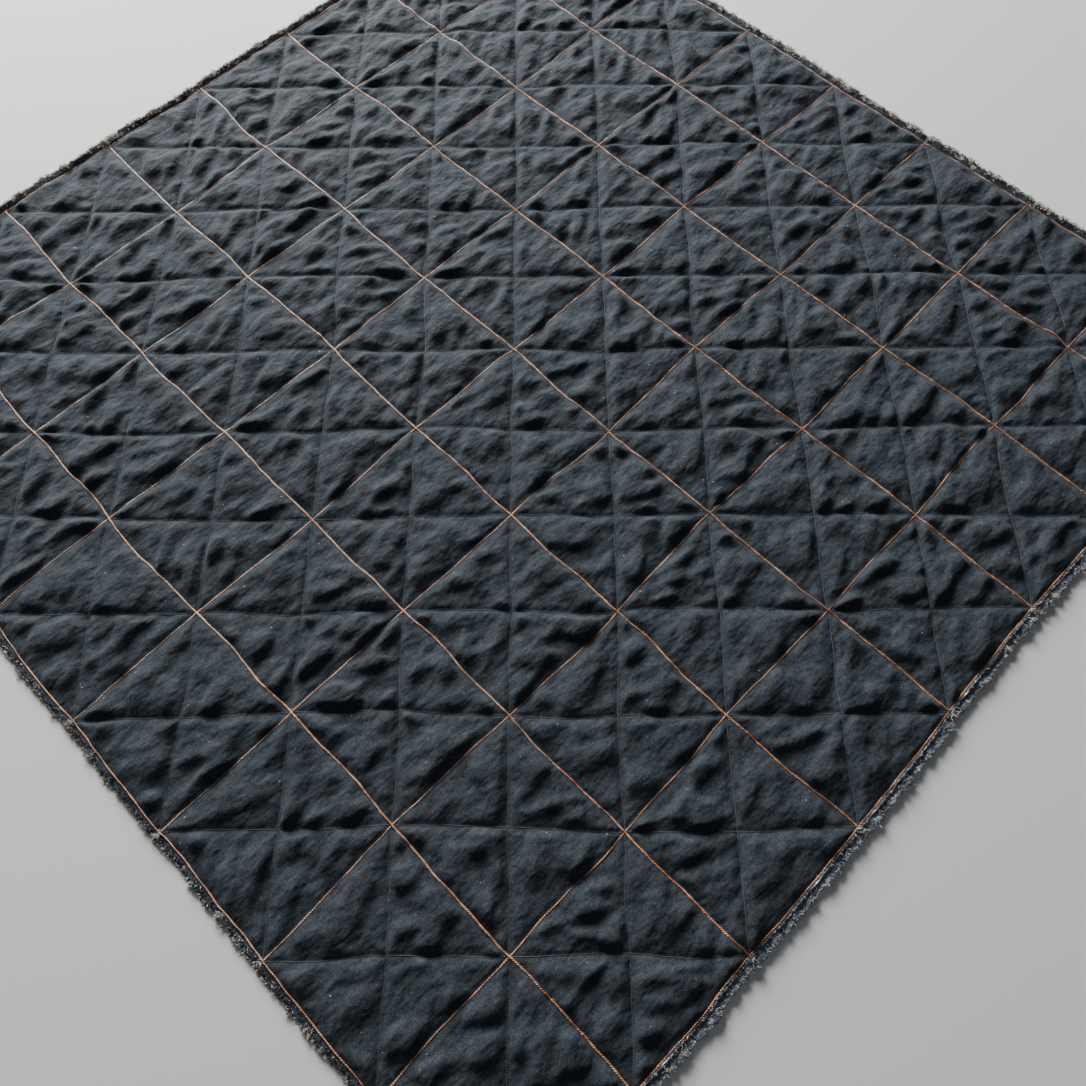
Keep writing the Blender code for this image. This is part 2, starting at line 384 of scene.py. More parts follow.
# Hollows between the stitching go no lower than this above the sewn lines, and ease towards it.
VALLEY = 0.0012
VALLEY_EASE = 0.0026
VALLEY_RUN = 0.009
# The stitching draws the cloth down within this distance.
DRAWN_DOWN = 0.012
PUCKERS = lay_out(simulate_patch())


def back_height(x, y, cells, lift):
    """The denim side: its cells hang down between the stitching and flatten on the floor."""
    a, b = np.meshgrid(np.arange(len(x)), np.arange(len(x)))
    hang = 1 - np.exp(-distance_to_stitching(a, b, cells) / BACK_HANG_RUN)
    z = DENIM_SEAM_Z + lift - BACK_HANG * hang + noise_sum(x, y, BACK_UNEVEN) * hang
    return BACK_CLEARANCE + soft_floor(z - BACK_CLEARANCE, BACK_EASE)


def face_surface():
    """The navy side: the puckered cells on the sewn lines, never thinner than the layers under them."""
    x, y = flat_grid(CELLS)
    strays = wander(x, y)
    a, b = np.meshgrid(np.arange(len(x)), np.arange(len(x)))
    inward = distance_to_stitching(a, b, CELLS)
    drawn_down = np.clip(inward / DRAWN_DOWN, 0, 1) ** 0.6
    surface = np.stack([x, y, np.zeros_like(x)], -1) + PUCKERS + strays
    z = FACE_SEAM_Z + PUCKERS[..., 2] * drawn_down + strays[..., 2]
    padded = FACE_SEAM_Z + strays[..., 2] + VALLEY
    inside = np.clip(inward / VALLEY_RUN, 0, 1)
    z = z * (1 - inside) + (padded + soft_floor(z - padded, VALLEY_EASE)) * inside
    z = z - STITCH_PULL * stitched(a, b, CELLS)
    lowest = back_height(x, y, CELLS, strays[..., 2]) + THINNEST
    z = lowest + soft_floor(z - lowest, THINNEST_EASE)
    surface[..., 2] = soft_limit(z, HIGHEST, HIGHEST - HIGHEST_EASE)
    return surface


def back_surface():
    """The points of the denim side, on its own coarser grid."""
    x, y = flat_grid(BACK_CELLS)
    strays = wander(x, y)
    z = back_height(x, y, BACK_CELLS, strays[..., 2])
    return np.stack([x + strays[..., 0], y + strays[..., 1], z], -1)


FACE = face_surface()
BACK = back_surface()

# ---------------------------------------------------------------------------------------------
# Materials
# ---------------------------------------------------------------------------------------------


class Nodes:
    """A short way to write a material's nodes."""

    def __init__(self, name, colour, roughness):
        self.material = bpy.data.materials.new(name)
        self.material.use_nodes = True
        self.tree = self.material.node_tree
        self.shader = self.tree.nodes["Principled BSDF"]
        self.shader.inputs["Base Color"].default_value = (*colour, 1)
        self.shader.inputs["Roughness"].default_value = roughness
        self.shader.inputs["Specular IOR Level"].default_value = 0.25
        self.position = self.tree.nodes.new("ShaderNodeTexCoord").outputs["Object"]

    def add(self, kind, **settings):
        node = self.tree.nodes.new(kind)
        for name, value in settings.items():
            setattr(node, name, value)
        return node

    def link(self, source, target):
        self.tree.links.new(source, target)

    def stretched(self, scale, turn=0.0):
        mapping = self.add("ShaderNodeMapping")
        mapping.inputs["Scale"].default_value = scale
        mapping.inputs["Rotation"].default_value = (0, 0, turn)
        self.link(self.position, mapping.inputs["Vector"])
        return mapping.outputs["Vector"]

    def noise(self, scale, vector=None, detail=2.0, roughness=0.5):
        node = self.add("ShaderNodeTexNoise")
        node.inputs["Scale"].default_value = scale
        node.inputs["Detail"].default_value = detail
        node.inputs["Roughness"].default_value = roughness
        self.link(vector or self.position, node.inputs["Vector"])
        return node.outputs["Fac"]

    def wave(self, scale, vector, distortion=0.0):
        node = self.add("ShaderNodeTexWave", bands_direction="X")
        node.inputs["Scale"].default_value = scale
        node.inputs["Distortion"].default_value = distortion
        self.link(vector, node.inputs["Vector"])
        return node.outputs["Fac"]

    def ramp(self, value, *stops):
        """Colours by value: each stop is (position, colour)."""
        node = self.add("ShaderNodeValToRGB")
        elements = node.color_ramp.elements
        while len(elements) < len(stops):
            elements.new(0.5)
        for element, (position, colour) in zip(elements, stops):
            element.position = position
            element.color = (*colour, 1) if len(colour) == 3 else colour
        self.link(value, node.inputs["Fac"])
        return node.outputs["Color"]

    def mix(self, factor, first, second, blend="MIX"):
        node = self.add("ShaderNodeMix", data_type="RGBA", blend_type=blend)
        colour_sockets = [socket for socket in node.inputs if socket.type == "RGBA"]
        for value, socket in zip((factor, first, second), (node.inputs["Factor"], *colour_sockets)):
            if isinstance(value, bpy.types.NodeSocket):
                self.link(value, socket)
            elif isinstance(value, (int, float)):
                socket.default_value = value
            else:
                socket.default_value = (*value, 1)
        return next(socket for socket in node.outputs if socket.type == "RGBA")

    def colour(self, socket):
        self.link(socket, self.shader.inputs["Base Color"])

    def bump(self, height, distance, strength=1.0, below=None):
        node = self.add("ShaderNodeBump")
        node.inputs["Strength"].default_value = strength
        node.inputs["Distance"].default_value = distance
        self.link(height, node.inputs["Height"])
        if below is not None:
            self.link(below, node.inputs["Normal"])
        return node.outputs["Normal"]

    def normal(self, socket):
        self.link(socket, self.shader.inputs["Normal"])

    def sheen(self, weight, roughness, tint):
        self.shader.inputs["Sheen Weight"].default_value = weight
        self.shader.inputs["Sheen Roughness"].default_value = roughness
        self.shader.inputs["Sheen Tint"].default_value = (*tint, 1)


def flannel_material():
    """Brushed dark navy cotton: a mottled nap, worn patches, fine creases and a little lint."""
    m = Nodes("navy_flannel", (0.030, 0.038, 0.048), 0.86)
    slant = m.stretched((1.0, 0.75, 1.0), math.radians(15))
    worn = m.noise(24, detail=4, roughness=0.6)
    mottle = m.noise(125, slant, detail=3, roughness=0.6)
    nap = m.noise(620, slant, detail=2, roughness=0.6)
    cloth = m.ramp(worn, (0.34, (0.009, 0.014, 0.020)), (0.66, (0.032, 0.044, 0.056)))
    cloth = m.mix(0.50, cloth, m.ramp(mottle, (0.34, (0.004, 0.008, 0.013)), (0.68, (0.057, 0.075, 0.093))))
    cloth = m.mix(0.38, cloth, m.ramp(nap, (0.36, (0.004, 0.007, 0.010)), (0.66, (0.086, 0.102, 0.118))))
    lint = m.ramp(m.noise(260, detail=0), (0.872, (0, 0, 0)), (0.882, (1, 1, 1)))
    m.colour(m.mix(lint, cloth, (0.30, 0.32, 0.34)))
    folds = m.noise(46, m.stretched((1.0, 0.60, 1.0), math.radians(12)), detail=2)
    creases = m.noise(100, m.stretched((1.0, 0.55, 1.0), math.radians(-10)), detail=1)
    lower = m.bump(folds, 0.0062, 0.9)
    lower = m.bump(creases, 0.0021, 0.9, lower)
    middle = m.bump(mottle, 0.0007, 0.8, lower)
    m.normal(m.bump(nap, 0.0006, 0.9, middle))
    m.sheen(0.10, 0.40, (0.70, 0.80, 0.92))
    return m.material


def denim_material():
    """Indigo twill with its pale weft showing between the diagonal ribs."""
    m = Nodes("denim", (0.075, 0.120, 0.190), 0.88)
    ribs = m.wave(310, m.stretched((1.0, 1.0, 1.0), math.radians(62)), 2.2)
    fade = m.noise(9, detail=4)
    streak = m.noise(60, m.stretched((1.0, 0.06, 1.0)), detail=3)
    base = m.ramp(fade, (0.30, (0.050, 0.085, 0.150)), (0.70, (0.115, 0.175, 0.270)))
    base = m.mix(0.35, base, m.ramp(streak, (0.35, (0.040, 0.070, 0.125)), (0.65, (0.190, 0.260, 0.360))))
    weft = m.ramp(ribs, (0.62, (0, 0, 0)), (0.95, (1, 1, 1)))
    speck = m.mix(1.0, weft, m.ramp(m.noise(900), (0.45, (0, 0, 0)), (0.62, (1, 1, 1))), "MULTIPLY")
    m.colour(m.mix(speck, base, (0.42, 0.47, 0.52)))
    lower = m.bump(m.noise(70, detail=3), 0.0016, 0.6)
    m.normal(m.bump(ribs, 0.0004, 0.8, lower))
    m.sheen(0.15, 0.5, (0.8, 0.85, 0.9))
    return m.material


def seam_thread_material():
    """Heavy copper-coloured cotton thread, its plies slanting across it, with painted shade in the grooves
    between the plies.
    """
    m = Nodes("copper_thread", (0.40, 0.17, 0.08), 0.33)
    plies = m.wave(135, m.stretched((1.0, 1.0, 1.0), math.radians(45)), 0.6)
    worn = m.noise(35, detail=3)
    base = m.ramp(worn, (0.34, (0.200, 0.070, 0.024)), (0.66, (0.780, 0.390, 0.190)))
    # Painted shade: the grooves between the plies are darkened towards dark copper.
    ply_groove_shade = m.ramp(plies, (0.0, (0.55, 0.55, 0.55)), (0.45, (0, 0, 0)))
    m.colour(m.mix(ply_groove_shade, base, (0.160, 0.055, 0.022)))
    lower = m.bump(plies, 0.0006, 0.9)
    m.normal(m.bump(m.noise(1400, detail=1), 0.0002, 0.6, lower))
    m.shader.inputs["Specular IOR Level"].default_value = 0.8
    m.sheen(0.12, 0.3, (1.0, 0.72, 0.48))
    return m.material


def quilting_thread_material():
    """Fine slate thread in short stitches."""
    m = Nodes("slate_thread", (0.050, 0.060, 0.072), 0.55)
    stitches = m.wave(150, m.stretched((1.0, 0.0, 0.0)), 0.0)
    m.colour(m.ramp(stitches, (0.12, (0.016, 0.020, 0.026)), (0.34, (0.105, 0.120, 0.140))))
    m.normal(m.bump(stitches, 0.0004, 0.8))
    return m.material


def fluff_material():
    """Charcoal wadding, matted and uneven."""
    m = Nodes("batting", (0.045, 0.045, 0.048), 1.0)
    m.colour(m.ramp(m.noise(260, detail=3), (0.35, (0.030, 0.031, 0.034)), (0.65, (0.060, 0.060, 0.062))))
    m.normal(m.bump(m.noise(500, detail=3), 0.0010, 0.9))
    return m.material


def yarn_material(name, dark, light):
    """Loose threads and raw cloth edges of one colour."""
    m = Nodes(name, dark, 0.90)
    m.colour(m.ramp(m.noise(330, detail=2), (0.34, dark), (0.66, light)))
    m.normal(m.bump(m.noise(1300, m.stretched((1, 0.4, 1), 0.6), detail=2), 0.0005, 0.9))
    m.sheen(0.25, 0.5, (0.9, 0.93, 1.0))
    return m.material


FLANNEL = flannel_material()
DENIM = denim_material()
COPPER = seam_thread_material()
SLATE = quilting_thread_material()
BATTING = fluff_material()
NAVY_YARN = yarn_material("navy_yarn", (0.012, 0.017, 0.025), (0.055, 0.070, 0.088))
BLUE_YARN = yarn_material("blue_yarn", (0.075, 0.095, 0.130), (0.300, 0.335, 0.390))
WHITE_YARN = yarn_material("white_yarn", (0.40, 0.38, 0.34), (0.84, 0.81, 0.74))
YARNS = [NAVY_YARN, BLUE_YARN, WHITE_YARN, COPPER, DENIM]
NAVY, BLUE, WHITE, _, RAW_DENIM = range(len(YARNS))

# ---------------------------------------------------------------------------------------------
# Where the pieces ride
# ---------------------------------------------------------------------------------------------

FIRST_BODY = "panel_1"
LAST_BODY = "panel_4"


def ride_group(obj, group):
    """Group 0 rides on the first panel and group 4 on the last; the others are baked where they lie."""
    if group == 0:
        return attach(obj, FIRST_BODY)
    if group == len(GROUPS) - 1:
        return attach(obj, LAST_BODY)
    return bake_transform(obj)


def nodes_of(group, kind):
    """The CAD nodes that a group's piece stands for: those of the rows that it holds."""
    first, end = GROUPS[group]
    return [f"{kind}_row_{row + 1}" for row in range(first, end)]


# ---------------------------------------------------------------------------------------------
# Cloth
# ---------------------------------------------------------------------------------------------


def band(surface, cells, group):
    """A group's rows of the whole surface."""
    first, end = GROUPS[group]
    return surface[first * cells : end * cells + 1]


def add_cloth(group):
    """The face, the backing and the batting between them."""
    upper = band(FACE, CELLS, group)
    triangles = stitched_faces(*upper.shape[:2], CELLS)
    face = build_mesh(f"face_cloth_{group + 1}", upper.reshape(-1, 3), [(triangles, 0)], [FLANNEL])
    lower = band(BACK, BACK_CELLS, group)
    triangles = stitched_faces(*lower.shape[:2], BACK_CELLS)[:, ::-1]
    back = build_mesh(f"backing_cloth_{group + 1}", lower.reshape(-1, 3), [(triangles, 0)], [DENIM])
    batting = add_batting(group)
    for obj, kind in ((face, "face_flannel"), (back, "backing_denim"), (batting, "batting")):
        ride_group(obj, group)
        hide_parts(*nodes_of(group, kind))


BATTING_GAP = 0.0004
BATTING_HALF_LEAST = 0.0001


def lowest_near(z, reach):
    """The lowest value within reach of each point."""
    padded = np.pad(z, reach, mode="edge")
    rows, columns = z.shape
    shifts = range(2 * reach + 1)
    return np.min([padded[v : v + rows, u : u + columns] for v in shifts for u in shifts], axis=0)


def batting_surfaces():
    """The wadding fills the cells and stays clear of both cloths."""
    step = CELLS // BACK_CELLS
    top = (lowest_near(FACE[..., 2], step) - BATTING_GAP)[::step, ::step]
    bottom = -lowest_near(-BACK[..., 2], 1) + BATTING_GAP
    middle = (FACE[::step, ::step, 2] + BACK[..., 2]) / 2
    upper, lower = BACK.copy(), BACK.copy()
    upper[..., 2] = np.maximum(top, middle + BATTING_HALF_LEAST)
    lower[..., 2] = np.minimum(bottom, middle - BATTING_HALF_LEAST)
    return upper, lower


WADDING = batting_surfaces()


def add_batting(group):
    """The group's wadding, closed round its rim."""
    upper, lower = (band(surface, BACK_CELLS, group) for surface in WADDING)
    rows, columns = upper.shape[:2]
    index = np.arange(rows * columns).reshape(rows, columns)
    rim = np.concatenate([index[0, :], index[1:, -1], index[-1, -2::-1], index[-2:0:-1, 0]])
    following = np.roll(rim, -1)
    below = rows * columns
    walls = np.stack([rim + below, following + below, following, rim], -1)
    quads = [grid_faces(rows, columns), grid_faces(rows, columns, below)[:, ::-1], walls]
    points = np.concatenate([upper.reshape(-1, 3), lower.reshape(-1, 3)])
    return build_mesh(f"batting_layer_{group + 1}", points, [(np.concatenate(quads), 0)], [BATTING])


# ---------------------------------------------------------------------------------------------
# Sewing
# ---------------------------------------------------------------------------------------------

SEAM_HALF_WIDTH = 0.0015
SEAM_HALF_HEIGHT = 0.0011
SEAM_LIFT = 0.0007
SEAM_SWELL = 0.20
BORDER_FINENESS = 0.68
# The short seams inside a row are sewn before the long ones, and lie deeper.
SHORT_SEAM_FINENESS = 0.80
SHORT_SEAM_SUNK = 0.0005
QUILTING_HALF_WIDTH = 0.00055
QUILTING_LIFT = 0.0003


def finer(path, times):
    """The path with more points, on a smooth curve."""
    fine = np.linspace(0, len(path) - 1, (len(path) - 1) * times + 1)
    i = np.clip(fine.astype(int), 0, len(path) - 2)
    f = (fine - i)[:, None]
    before = path[np.maximum(i - 1, 0)]
    after = path[np.minimum(i + 2, len(path) - 1)]
    here, there = path[i], path[i + 1]
    slope = (there - before) / 2
    next_slope = (after - here) / 2
    return (
        (2 * f**3 - 3 * f**2 + 1) * here
        + (f**3 - 2 * f**2 + f) * slope
        + (3 * f**2 - 2 * f**3) * there
        + (f**3 - f**2) * next_slope
    )


def seam_cord(path, seed, fineness=1.0, sunk=0.0):
    """A heavy thread along a seam, lying in its ditch and uneven in width. Fineness scales its width."""
    path = finer(path, 2)
    path[:, 2] += SEAM_LIFT * fineness - sunk
    rng = np.random.default_rng(seed)
    swell = fineness * (1 + SEAM_SWELL * rng.standard_normal(len(path)).clip(-1.5, 1.5))
    return tube(path, SEAM_HALF_WIDTH * swell, SEAM_HALF_HEIGHT * swell, 6)


def add_seams(group):
    """The copper stitching of the group's rows: long seams, short seams and border."""
    first, end = GROUPS[group]
    rows = list(range(first, end)) + ([ROWS] if end == ROWS else [])
    cords = []
    for row in rows:
        fineness = BORDER_FINENESS if row in (0, ROWS) else 1.0
        cords.append(seam_cord(FACE[row * CELLS], 100 + row, fineness))
    for column in range(COLUMNS + 1):
        line = FACE[first * CELLS : end * CELLS + 1, column * CELLS]
        if column in (0, COLUMNS):
            cords.append(seam_cord(line, 200 + column, BORDER_FINENESS))
        else:
            cords.append(seam_cord(line, 200 + column, SHORT_SEAM_FINENESS, SHORT_SEAM_SUNK))
    points, quads = gather(cords + loose_threads(group))
    seams = build_mesh(f"copper_seams_{group + 1}", points, [(quads, 0)], [COPPER])
    ride_group(seams, group)
    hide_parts(*nodes_of(group, "seam_thread"))
    if end == ROWS:
        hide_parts("border_seam_thread")


# Where a thread has worked loose, in blocks from the front left corner, and how long it is.
LOOSE_THREADS = [(6.2, 3.0, 0.030), (1.0, 5.3, 0.016), (3.0, 1.35, 0.014), (5.6, 6.0, 0.018)]
LOOSE_TURN = 4.2
LOOSE_RADIUS = 0.0006


def loose_threads(group):
    """Short copper ends that curl up from the seams of this group's rows."""
    first, end = GROUPS[group]
    curls = []
    for across, up, length in LOOSE_THREADS:
        if first <= up < end:
            spot = FACE[round(up * CELLS), round(across * CELLS)]
            turn = np.linspace(0, LOOSE_TURN, 14)
            radius = length / LOOSE_TURN * (1 - 0.10 * turn)
            rise = 0.0012 + 0.0016 * turn / LOOSE_TURN
            curl = np.stack([radius * np.sin(turn), radius * (1 - np.cos(turn)), rise], -1)
            points, quads = tube(spot + curl, LOOSE_RADIUS, LOOSE_RADIUS, 6)
            points[:, 2] = np.minimum(points[:, 2], HIGHEST)
            curls.append((points, quads))
    return curls


def add_quilting(group):
    """The stitching along both diagonals of each block."""
    first, end = GROUPS[group]
    threads = []
    run = np.arange(CELLS + 1)
    for row in range(first, end):
        for column in range(COLUMNS):
            for across in (run, run[::-1]):
                path = FACE[row * CELLS + run, column * CELLS + across].copy()
                path[:, 2] += QUILTING_LIFT
                threads.append(tube(path, QUILTING_HALF_WIDTH, QUILTING_HALF_WIDTH, 4))
    points, quads = gather(threads)
    obj = build_mesh(f"quilting_threads_{group + 1}", points, [(quads, 0)], [SLATE])
    ride_group(obj, group)
    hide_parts(*nodes_of(group, "quilting_thread"))


# ---------------------------------------------------------------------------------------------
# Ragged allowances
# ---------------------------------------------------------------------------------------------

STRIP_STEP = 0.0032
STRIP_ROWS = 4
FLOOR_EASE = 0.0004


def yarns(roots, directions, lengths, radius, rng):
    """Short tapering threads, each with a bend in it, as closed three-sided spikes."""
    count = len(roots)
    side = np.cross(directions, [0, 0, 1.0]) + 1e-9
    side /= np.linalg.norm(side, axis=1, keepdims=True)
    up = np.cross(side, directions)
    bend = rng.normal(0, 0.45, (count, 1)) * side - rng.uniform(0.0, 0.35, (count, 1)) * up
    middle = roots + directions * lengths[:, None] * 0.55
    tip = roots + (directions + bend) * lengths[:, None]
    angles = np.arange(3) * 2 * math.pi / 3
    ring = side[:, None] * np.cos(angles)[None, :, None] + up[:, None] * np.sin(angles)[None, :, None]
    ring = ring * radius[:, None, None]
    points = np.concatenate([roots[:, None] + ring, middle[:, None] + ring * 0.85, tip[:, None]], axis=1)
    one = [[0, 2, 1]]
    for k in range(3):
        n = (k + 1) % 3
        one += [[k, n, 3 + n], [k, 3 + n, 3 + k], [3 + k, 3 + n, 6]]
    faces = np.array(one)[None] + (np.arange(count) * 7)[:, None, None]
    return points.reshape(-1, 3), faces.reshape(-1, 3)


def on_floor(points):
    """Cloth that would go through the floor lies on it, and none stands above the quilt's crowns."""
    z = soft_limit(points[..., 2], HIGHEST, HIGHEST - HIGHEST_EASE)
    points[..., 2] = FLOOR_CLEARANCE + soft_floor(z - FLOOR_CLEARANCE, FLOOR_EASE)
    return points


class Fray:
    """Raw edges along sewn lines: ragged strips of cloth, and the threads that stand out of them."""

    def __init__(self, seed):
        self.rng = np.random.default_rng(seed)
        self.strips = {colour: [] for colour in range(len(YARNS))}
        self.threads = {colour: [] for colour in range(len(YARNS))}

    def line(self, path):
        """The path at even steps, with its direction."""
        run = np.concatenate([[0], np.cumsum(np.linalg.norm(np.diff(path, axis=0), axis=1))])
        s = np.linspace(0, run[-1], max(3, int(run[-1] / STRIP_STEP)) + 1)
        spots = np.stack([np.interp(s, run, path[:, k]) for k in range(3)], -1)
        along = np.gradient(spots, axis=0)
        return spots, along / np.linalg.norm(along, axis=1, keepdims=True), s

    def strip(self, path, outward, colour, reach, root_drop, tip_z):
        """A strip of cloth from the line outwards, snipped into uneven tabs.

        It starts root_drop under the line, and its rippling outer edge is near the height tip_z.
        """
        rng = self.rng
        spots, along, s = self.line(path)
        count = len(spots)
        steps = np.repeat(rng.uniform(0.74, 1.10, count // 6 + 1), 6)[:count]
        length = reach * (0.6 * steps + 0.4 * rng.uniform(0.82, 1.10, count))
        v = np.linspace(0, 1, STRIP_ROWS)[:, None]
        points = spots[None] + outward[None, None] * (v * length)[..., None]
        points = points + along[None] * (v * rng.normal(0, 0.0006, count))[..., None]
        root = spots[:, 2] - root_drop
        tip = tip_z + 0.0008 * smooth_noise(s, s * 0, 0.03, int(rng.integers(1000))).clip(-1, 1.6)
        ripple = 0.0005 * rng.standard_normal((STRIP_ROWS, count)) * v
        points[..., 2] = root * (1 - v) + tip * v + ripple
        points = on_floor(points)
        flat = points.reshape(-1, 3)
        quads = grid_faces(STRIP_ROWS, count)
        self.strips[colour].append((flat, quads))
        return points

    def fuzz(self, points, outward, colours, per_metre, low, lengths, radius, rise=(0.05, 0.9)):
        """Loose threads on a strip, from the share low of its width outwards, leaning up by rise."""
        rng = self.rng
        rows, count = points.shape[:2]
        span = np.linalg.norm(points[0, -1] - points[0, 0])
        number = int(per_metre * span)
        place = rng.uniform(0, count - 1.001, number)
        share = rng.uniform(low, 1.0, number) * (rows - 1)
        i, j = place.astype(int), np.minimum(share.astype(int), rows - 2)
        f, g = (place - i)[:, None], (share - j)[:, None]
        near = points[j, i] * (1 - f) + points[j, i + 1] * f
        far = points[j + 1, i] * (1 - f) + points[j + 1, i + 1] * f
        roots = near * (1 - g) + far * g
        along = np.array([-outward[1], outward[0], 0])
        lean = outward * rng.uniform(0.1, 1.0, (number, 1)) + along * rng.normal(0, 0.7, (number, 1))
        lean[:, 2] += rng.uniform(*rise, number)
        lean /= np.linalg.norm(lean, axis=1, keepdims=True)
        self.spread(roots, lean, colours, rng.uniform(*lengths, number), radius)

    def tuft(self, centre, outward, colours, number, size):
        """A knot of threads round one spot."""
        rng = self.rng
        roots = centre + rng.normal(0, 0.0022, (number, 3)) * np.array([1, 1, 0.3])
        lean = outward * rng.uniform(-0.2, 1.0, (number, 1)) + rng.normal(0, 0.5, (number, 3))
        lean[:, 2] = np.abs(lean[:, 2]) * 0.6
        lean /= np.linalg.norm(lean, axis=1, keepdims=True)
        self.spread(roots, lean, colours, size * rng.uniform(0.5, 1.1, number), 0.00045)

    def spread(self, roots, lean, colours, lengths, radius):
        """Adds yarns, their colours drawn from the shares of navy, blue, white and copper."""
        tint = self.rng.choice(len(colours), len(roots), p=colours)
        for colour in range(len(colours)):
            chosen = tint == colour
            if chosen.any():
                radii = radius * self.rng.uniform(0.7, 1.4, chosen.sum())
                points, faces = yarns(roots[chosen], lean[chosen], lengths[chosen], radii, self.rng)
                self.threads[colour].append((on_floor(points), faces))

    def finish(self, name, group):
        """Everything as one piece, riding with its group."""
        points, face_sets, count = [], [], 0
        for parts in (self.strips, self.threads):
            for colour, some in parts.items():
                if some:
                    some_points, faces = gather(some)
                    points.append(some_points)
                    face_sets.append((faces + count, colour))
                    count += len(some_points)
        return ride_group(build_mesh(name, np.concatenate(points), face_sets, YARNS), group)


class Side(NamedTuple):
    """One side's raw edge. The tints are shares of navy, blue, white and copper threads."""

    outward: tuple
    reach: float
    navy_cover: float
    knots_per_block: int
    rim_z: float
    cover_tint: tuple
    rim_tint: tuple


SIDES = {
    "front": Side((0, -1.0, 0), 0.80, 0.80, 4, 0.0016, (0.90, 0.05, 0.04, 0.01), (0.42, 0.06, 0.42, 0.10)),
    "right": Side((1.0, 0, 0), 1.00, 0.24, 1, 0.0052, (0.26, 0.69, 0.05, 0.00), (0.14, 0.74, 0.11, 0.01)),
    "back": Side((0, 1.0, 0), 1.10, 0.66, 16, 0.0082, (0.92, 0.02, 0.05, 0.01), (0.34, 0.02, 0.59, 0.05)),
    "left": Side((-1.0, 0, 0), 1.10, 0.66, 16, 0.0082, (0.92, 0.02, 0.05, 0.01), (0.34, 0.04, 0.57, 0.05)),
}
# How far under the stitching each layer's raw edge starts, and how far above the denim's rim it ends.
NAVY_DROP = 0.0002
NAVY_OVER = 0.0022
PALE_DROP = 0.0012
PALE_OVER = 0.0006
DENIM_DROP = 0.0022
PALE_MOST = 0.6
SEAM_END_TINT = (0.10, 0.15, 0.60, 0.15)
KNOT_TINT = (0.04, 0.02, 0.86, 0.08)
RAG_TINT = (0.06, 0.54, 0.40, 0.0)
RAG_DROP = 0.0002
RAG_TIP_Z = 0.0009


def frayed_side(name, path, side, group, seed):
    """The raw edges of denim, pale cloth and navy cloth outside the border stitching."""
    edge = SIDES[side]
    outward = np.array(edge.outward)
    reach = FRAY_REACH * edge.reach
    cover = edge.navy_cover
    fray = Fray(seed)
    denim = fray.strip(path, outward, BLUE, reach, DENIM_DROP, edge.rim_z)
    fray.strip(path, outward, WHITE, reach * min(cover, PALE_MOST), PALE_DROP, edge.rim_z + PALE_OVER)
    navy = fray.strip(path, outward, NAVY, reach * cover, NAVY_DROP, edge.rim_z + NAVY_OVER)
    inner = max(0.12, cover - 0.2)
    tint = edge.cover_tint
    fray.fuzz(navy, outward, tint, per_metre=900, low=0.30, lengths=(0.0020, 0.0050), radius=0.00050)
    fray.fuzz(denim, outward, tint, per_metre=1900, low=inner, lengths=(0.0020, 0.0046), radius=0.00052)
    tint = edge.rim_tint
    fray.fuzz(denim, outward, tint, per_metre=1800, low=0.78, lengths=(0.0025, 0.0062), radius=0.00056)
    for spot in path[::CELLS]:
        fray.tuft(spot + outward * 0.004, outward, SEAM_END_TINT, number=26, size=0.0075)
    for _ in range(int(len(path) / 7)):
        spot = denim[-1, fray.rng.integers(denim.shape[1])]
        fray.tuft(spot - outward * 0.002, outward, tint, number=20, size=0.0078)
    for _ in range(int(len(path) / CELLS * edge.knots_per_block)):
        spot = denim[-1, fray.rng.integers(denim.shape[1])]
        fray.tuft(spot - outward * 0.003, outward, KNOT_TINT, number=46, size=0.0072)
    return fray.finish(name, group)


def add_frayed_edges(group):
    """The raw edge outside the border stitching, on the group's own stretch of the outline."""
    first, end = GROUPS[group]
    rows = slice(first * CELLS, end * CELLS + 1)
    for side, column, seed in (("left", 0, 300), ("right", -1, 310)):
        name = f"frayed_edge_{side}_side_{group + 1}"
        piece = frayed_side(name, FACE[rows, column], side, group, seed + group)
        if group < len(GROUPS) - 1:
            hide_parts(f"frayed_edge_{side}_{group + 1}")
    if first == 0:
        piece = frayed_side("frayed_edge_front_side", FACE[0], "front", group, 320)
        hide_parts("frayed_edge_front")
    if end == ROWS:
        piece = frayed_side("frayed_edge_back_side", FACE[-1], "back", group, 321)
        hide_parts("frayed_edge_back")


def add_rag_seams(group):
    """The frayed allowances along every inner seam on the hidden side, spread both ways."""
    first, end = GROUPS[group]
    lines = [(BACK[row * BACK_CELLS], np.array([0, 1.0, 0])) for row in range(max(first, 1), end)]
    for column in range(1, COLUMNS):
        line = BACK[first * BACK_CELLS : end * BACK_CELLS + 1, column * BACK_CELLS]
        lines.append((line, np.array([1.0, 0, 0])))
    fray = Fray(400 + group)
    for path, across in lines:
        for outward in (across, -across):
            denim = fray.strip(path, outward, RAW_DENIM, ALLOWANCE, RAG_DROP, RAG_TIP_Z)
            fray.fuzz(
                denim,
                outward,
                RAG_TINT,
                per_metre=800,
                low=0.40,
                lengths=(0.0035, 0.0080),
                radius=0.00042,
                rise=(-0.5, 0.0),
            )
    piece = fray.finish(f"rag_seams_{group + 1}", group)
    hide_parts(*nodes_of(group, "rag_seam"))


for number in range(len(GROUPS)):
    add_cloth(number)
    add_seams(number)
    add_quilting(number)
    add_frayed_edges(number)
    add_rag_seams(number)

# ---------------------------------------------------------------------------------------------
# Floor, light and camera
# ---------------------------------------------------------------------------------------------


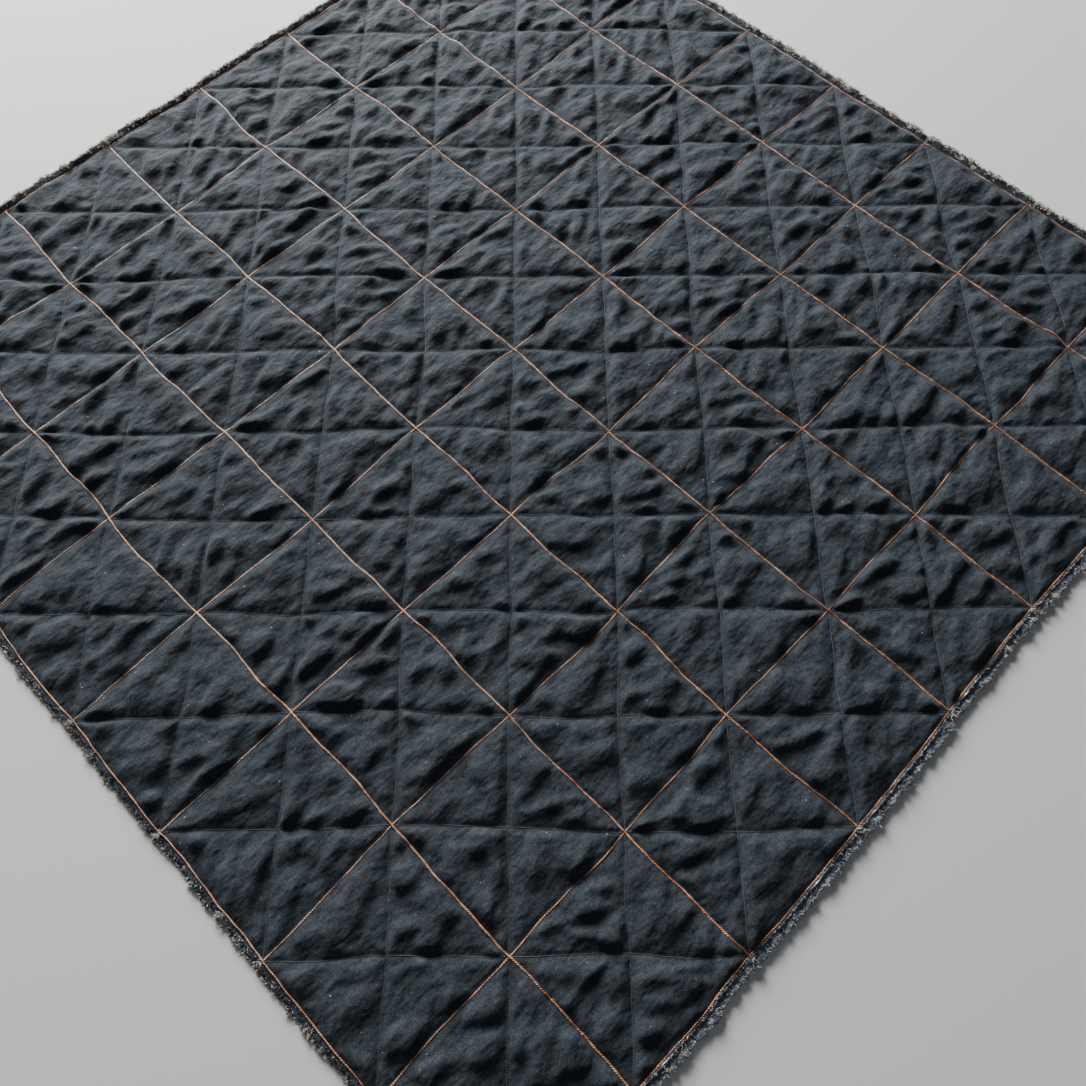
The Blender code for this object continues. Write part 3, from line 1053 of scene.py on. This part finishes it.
def add_floor():
    """A plain pale floor."""
    bpy.ops.mesh.primitive_plane_add(size=30, location=(0, 0, 0))
    floor = bpy.context.object
    floor.name = "floor"
    m = Nodes("floor", (0.80, 0.80, 0.79), 0.75)
    floor.data.materials.append(m.material)


def add_light(name, where, size, power, colour):
    """A round soft light that faces the quilt's middle."""
    light = bpy.data.lights.new(name, "AREA")
    light.shape = "DISK"
    light.size = size
    light.energy = power
    light.color = colour
    obj = bpy.data.objects.new(name, light)
    obj.location = where
    obj.rotation_mode = "QUATERNION"
    obj.rotation_quaternion = (-Vector(where)).to_track_quat("-Z", "Y")
    bpy.context.scene.collection.objects.link(obj)


def add_world(strength):
    """A faint even light from all round."""
    world = bpy.data.worlds.new("studio")
    world.use_nodes = True
    background = world.node_tree.nodes["Background"]
    background.inputs["Color"].default_value = (0.93, 0.96, 1.0, 1)
    background.inputs["Strength"].default_value = strength
    bpy.context.scene.world = world


# The camera: over the quilt's near corner, looking down along its diagonal. Distances are in blocks.
CAMERA_AZIMUTH = math.radians(45.6)
CAMERA_ELEVATION = math.radians(66.3)
CAMERA_ROLL = math.radians(-0.9)
CAMERA_PLACE = Vector((3.13, -2.78, 5.86))
CAMERA_LENS = 30.3


def add_camera():
    a, e = CAMERA_AZIMUTH, CAMERA_ELEVATION
    back = Vector((math.sin(a) * math.cos(e), -math.cos(a) * math.cos(e), math.sin(e)))
    right = Vector((0, 0, 1)).cross(back).normalized()
    up = back.cross(right)
    level = Matrix((right, up, back)).transposed()
    camera = bpy.data.objects.new("camera", bpy.data.cameras.new("camera"))
    camera.data.lens = CAMERA_LENS
    camera.data.sensor_width = 36
    camera.data.clip_end = 50
    turned = level @ Matrix.Rotation(CAMERA_ROLL, 3, "Z")
    camera.matrix_world = Matrix.Translation(CAMERA_PLACE * BLOCK) @ turned.to_4x4()
    bpy.context.scene.collection.objects.link(camera)
    bpy.context.scene.camera = camera


add_floor()
add_world(0.044)
add_light("key", where=(-4.3, 1.7, 1.95), size=2.8, power=780, colour=(1.0, 0.99, 0.975))
add_light("fill", where=(1.6, -1.4, 2.6), size=2.4, power=6, colour=(0.90, 0.95, 1.0))
add_camera()
